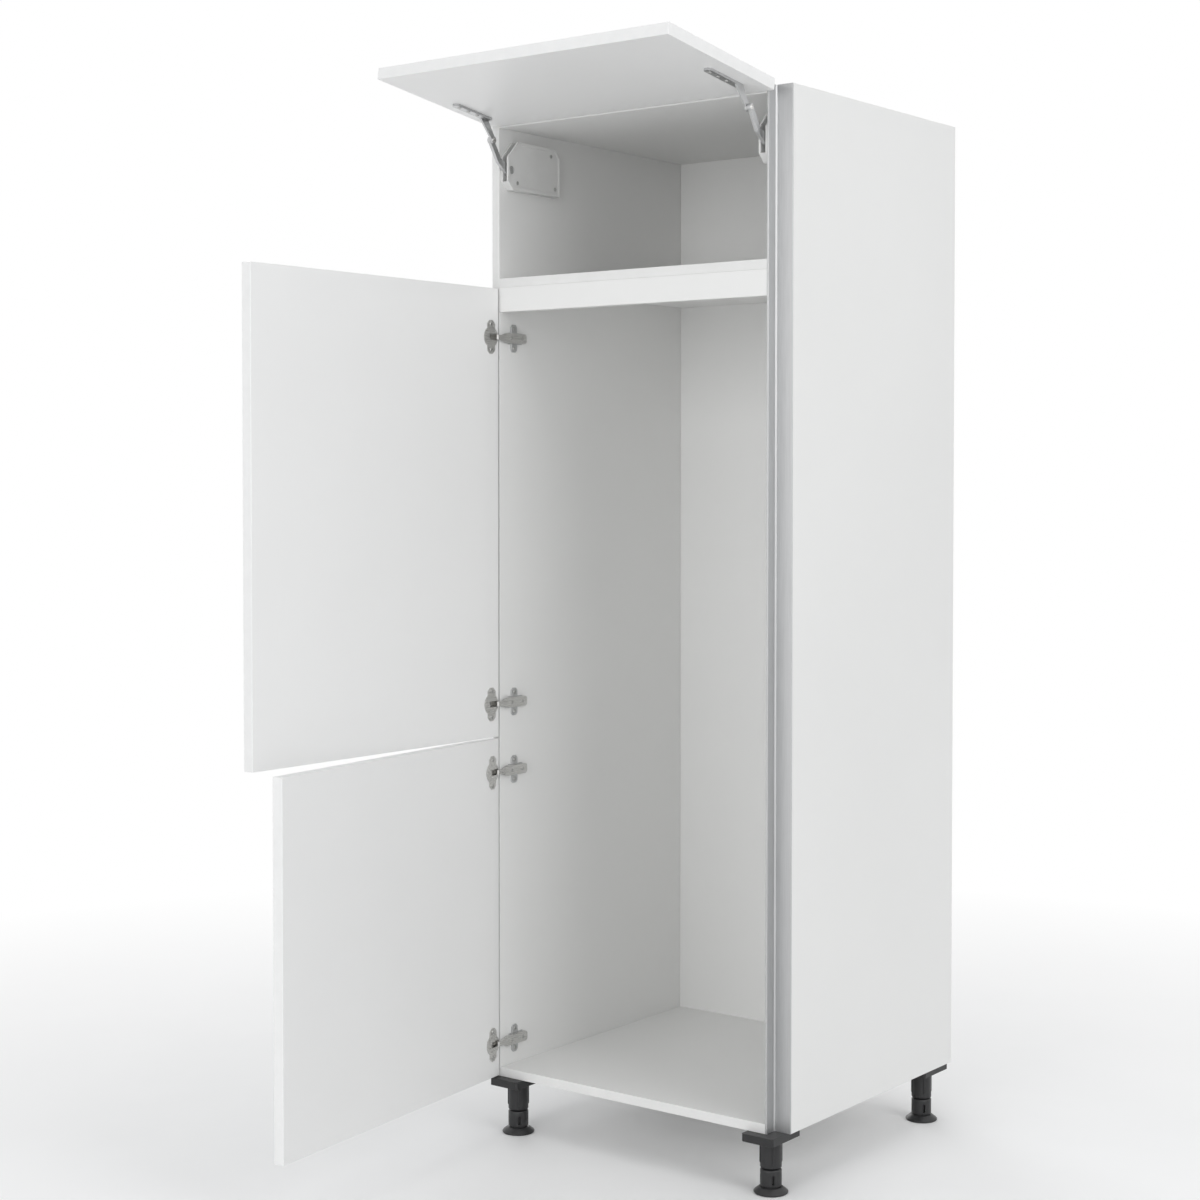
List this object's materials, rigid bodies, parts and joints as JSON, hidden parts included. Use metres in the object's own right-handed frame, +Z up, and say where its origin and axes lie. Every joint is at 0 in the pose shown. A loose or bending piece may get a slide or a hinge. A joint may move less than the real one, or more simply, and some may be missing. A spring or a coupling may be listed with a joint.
{
  "type": "fridge housing cabinet",
  "caption": "Tall kitchen carcase with an open niche for a built-in fridge, hinged doors, a lift-up flap on stays above, a vertical grip recess and levelling feet.",
  "frame": {"origin": "on the floor, under the middle of the whole cabinet as it stands open", "axes": "+X to the right seen from the front, +Y from the front to the back, +Z up"},
  "size_m": [0.6028, 1.1462, 1.813],
  "materials": {
    "carcase_board": "matt melamine-faced board",
    "front_board": "satin white front",
    "back_board": "matt board",
    "profile": "satin anodised",
    "hinge_steel": "nickel plated",
    "hinge_plate": "nickel plated",
    "stay_case": "matt",
    "stay_steel": "nickel plated",
    "foot_plastic": "black moulded"
  },
  "bodies": {
    "carcase": {"side_left": "carcase_board", "side_right": "carcase_board", "bottom_board": "carcase_board", "fixed_shelf": "carcase_board", "top_board": "carcase_board", "shelf_rail": "carcase_board", "stay_spacer": "carcase_board", "back_niche": "back_board", "back_cupboard": "back_board", "grip_profile": "profile", "hinge_plate_upper_top": "hinge_plate", "hinge_arm_upper_top": "hinge_steel", "hinge_plate_upper_low": "hinge_plate", "hinge_arm_upper_low": "hinge_steel", "hinge_plate_lower_top": "hinge_plate", "hinge_arm_lower_top": "hinge_steel", "hinge_plate_lower_low": "hinge_plate", "hinge_arm_lower_low": "hinge_steel", "stay_case_left": "stay_case", "stay_case_right": "stay_case", "foot_socket_front_left": "foot_plastic", "foot_socket_back_left": "foot_plastic", "foot_socket_front_right": "foot_plastic", "foot_socket_back_right": "foot_plastic"},
    "door_upper": {"door_upper": "front_board", "hinge_cup_upper_top": "hinge_steel", "hinge_cup_upper_low": "hinge_steel"},
    "door_lower": {"door_lower": "front_board", "hinge_cup_lower_top": "hinge_steel", "hinge_cup_lower_low": "hinge_steel"},
    "flap": {"flap": "front_board", "flap_bracket_left": "stay_steel", "flap_bracket_right": "stay_steel"},
    "stay_arm_left": {"stay_arm_left": "stay_steel"},
    "stay_arm_right": {"stay_arm_right": "stay_steel"},
    "foot_front_left": {"foot_front_left": "foot_plastic"},
    "foot_back_left": {"foot_back_left": "foot_plastic"},
    "foot_front_right": {"foot_front_right": "foot_plastic"},
    "foot_back_right": {"foot_back_right": "foot_plastic"}
  },
  "joints": [
    {"name": "upper_door_swing", "type": "hinge", "parent": "carcase", "child": "door_upper", "pos_m": [-0.29022, 0.00155, 1.0855], "axis": [0, 0, 1], "range_deg": [-10, 90]},
    {"name": "lower_door_swing", "type": "hinge", "parent": "carcase", "child": "door_lower", "pos_m": [-0.29022, 0.00155, 0.39775], "axis": [0, 0, 1], "range_deg": [-16, 84]},
    {"name": "left_stay_swing", "type": "hinge", "parent": "carcase", "child": "stay_arm_left", "pos_m": [-0.27512, 0.02705, 1.68], "axis": [1, 0, 0], "range_deg": [-57.31, 0.01]},
    {"name": "flap_tilt", "type": "hinge", "parent": "stay_arm_left", "child": "flap", "pos_m": [-0.27512, -0.01819, 1.72615], "axis": [1, 0, 0], "range_deg": [0, 155.3]},
    {"name": "right_stay_swing", "type": "hinge", "parent": "carcase", "child": "stay_arm_right", "pos_m": [0.25788, 0.02705, 1.68], "axis": [1, 0, 0], "range_deg": [-57.31, 0.01]},
    {"name": "foot_front_left_height", "type": "slide", "parent": "carcase", "child": "foot_front_left", "axis": [0, 0, -1], "range_m": [-0.0015, 0.02]},
    {"name": "foot_back_left_height", "type": "slide", "parent": "carcase", "child": "foot_back_left", "axis": [0, 0, -1], "range_m": [-0.0015, 0.02]},
    {"name": "foot_front_right_height", "type": "slide", "parent": "carcase", "child": "foot_front_right", "axis": [0, 0, -1], "range_m": [-0.0015, 0.02]},
    {"name": "foot_back_right_height", "type": "slide", "parent": "carcase", "child": "foot_back_right", "axis": [0, 0, -1], "range_m": [-0.0015, 0.02]}
  ],
  "couplings": [
    {"joint": "left_stay_swing", "follows": "flap_tilt", "ratio": -0.36896},
    {"joint": "right_stay_swing", "follows": "flap_tilt", "ratio": -0.36896}
  ]
}
